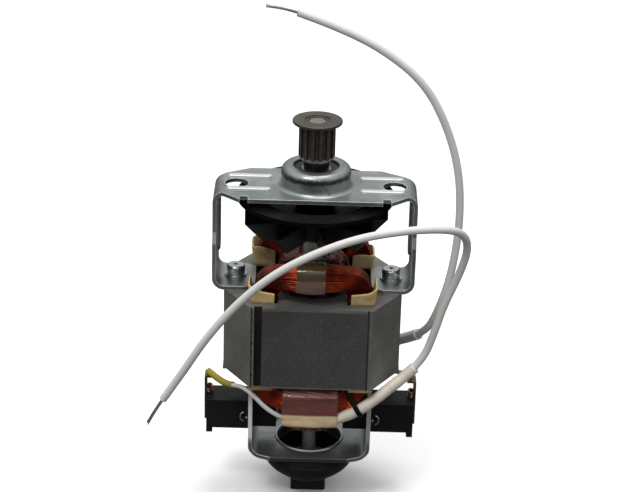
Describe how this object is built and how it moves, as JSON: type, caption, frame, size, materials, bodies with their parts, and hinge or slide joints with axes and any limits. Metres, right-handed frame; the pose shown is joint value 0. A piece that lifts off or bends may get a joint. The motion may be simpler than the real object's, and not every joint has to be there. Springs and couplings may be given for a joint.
{
  "type": "vacuum power nozzle motor",
  "caption": "Open-frame universal motor for a vacuum power nozzle, with a toothed belt pulley, steel mounting bridge, cooling fan, side brush holders and two wire leads.",
  "frame": {"origin": "midway between the two mounting holes, on the shaft axis, in the top face of the drive-end bracket's plate", "axes": "+Z along the shaft towards the pulley, +X along the line of the two mounting holes towards the side where the leads leave, -Y towards the blank label"},
  "size_m": [0.1157, 0.0655, 0.1904],
  "materials": {
    "bracket_steel": "bright zinc plate, satin, faint scratches",
    "bearing_steel": "ground and polished",
    "cage_steel": "pressed, satin",
    "seal_rubber": "black, matt",
    "shaft_steel": "ground",
    "sintered_steel": "dark brown-grey, oiled sinter",
    "fan_plastic": "black, moulded, semi-gloss",
    "black_plastic": "black, moulded",
    "stator_laminations": "dark oxide with fine lamination lines",
    "armature_laminations": "dull steel",
    "zinc_fasteners": "bright zinc plate",
    "blank_label": "dark, with nothing printed on it",
    "coil_wire": "enamelled copper, glossy red-brown",
    "coil_tape": "thin film tape, glossy tan over copper",
    "liner_board": "cream board",
    "commutator_copper": "turned copper, worn bands",
    "brass_strip": "stamped brass",
    "carbon": "graphite grey",
    "spring_steel": "bright spring steel",
    "bush_bronze": "oiled sintered bronze",
    "oil_felt": "oiled felt",
    "white_insulation": "white wire insulation, satin",
    "clear_sleeve": "milky insulating sleeve, satin",
    "yellow_insulation": "yellow insulation",
    "bare_strands": "tinned copper strands"
  },
  "bodies": {
    "frame": {"drive_end_bracket": "bracket_steel", "bearing_outer_ring": "bearing_steel", "bearing_seals": "seal_rubber", "stator_core": "stator_laminations", "stack_cleats": "zinc_fasteners", "rating_plate": "blank_label", "front_coil_core": "coil_wire", "front_coil_turns": "coil_wire", "front_coil_tapes": "coil_tape", "rear_coil_core": "coil_wire", "rear_coil_turns": "coil_wire", "rear_coil_tapes": "coil_tape", "slot_liner_front_right": "liner_board", "slot_liner_front_left": "liner_board", "slot_liner_rear_right": "liner_board", "slot_liner_rear_left": "liner_board", "flat_washers": "zinc_fasteners", "spring_washers": "zinc_fasteners", "bracket_screws": "zinc_fasteners", "commutator_end_bracket": "bracket_steel", "rear_bearing_housing": "black_plastic", "rear_bush": "bush_bronze", "felt_ring": "oil_felt", "holder_rivets": "zinc_fasteners", "brush_holder_right": "black_plastic", "brush_holder_left": "black_plastic", "brush_tube_right": "brass_strip", "brush_tube_left": "brass_strip", "brush_terminal_right": "brass_strip", "brush_terminal_left": "brass_strip", "brush_spring_right": "spring_steel", "brush_spring_left": "spring_steel", "front_sleeve": "clear_sleeve", "rear_sleeve": "clear_sleeve", "sleeve_tie": "black_plastic", "front_jumper": "white_insulation", "rear_jumper": "white_insulation", "yellow_sleeve": "yellow_insulation", "lead_a": "white_insulation", "lead_b": "white_insulation", "lead_a_strands": "bare_strands", "lead_b_strands": "bare_strands"},
    "rotor": {"armature_shaft": "shaft_steel", "spacer_collar": "sintered_steel", "pulley_washer": "sintered_steel", "pulley": "sintered_steel", "pulley_flange": "sintered_steel", "fan": "fan_plastic", "armature_core": "armature_laminations", "armature_winding": "coil_wire", "commutator_hub": "black_plastic", "commutator_bars": "commutator_copper", "rear_thrust_washer": "spring_steel", "bearing_inner_ring": "bearing_steel"},
    "ball_set": {"bearing_balls": "bearing_steel", "bearing_cage": "cage_steel"},
    "brush_right": {"carbon_brush_right": "carbon"},
    "brush_left": {"carbon_brush_left": "carbon"}
  },
  "joints": [
    {"name": "rotor_spin", "type": "hinge", "parent": "frame", "child": "rotor", "pos_m": [0, 0, 0], "axis": [0, 0, 1], "continuous": true},
    {"name": "ball_set_spin", "type": "hinge", "parent": "frame", "child": "ball_set", "pos_m": [0, 0, 0], "axis": [0, 0, 1], "continuous": true},
    {"name": "brush_right_slide", "type": "slide", "parent": "frame", "child": "brush_right", "axis": [1, 0, 0], "range_m": [0, 0.003], "stiffness_N_per_m": 60, "springref_m": -0.02, "deforming": ["brush_spring_right"]},
    {"name": "brush_left_slide", "type": "slide", "parent": "frame", "child": "brush_left", "axis": [-1, 0, 0], "range_m": [0, 0.003], "stiffness_N_per_m": 60, "springref_m": -0.02, "deforming": ["brush_spring_left"]}
  ],
  "couplings": [
    {"joint": "ball_set_spin", "follows": "rotor_spin", "ratio": 0.368}
  ]
}
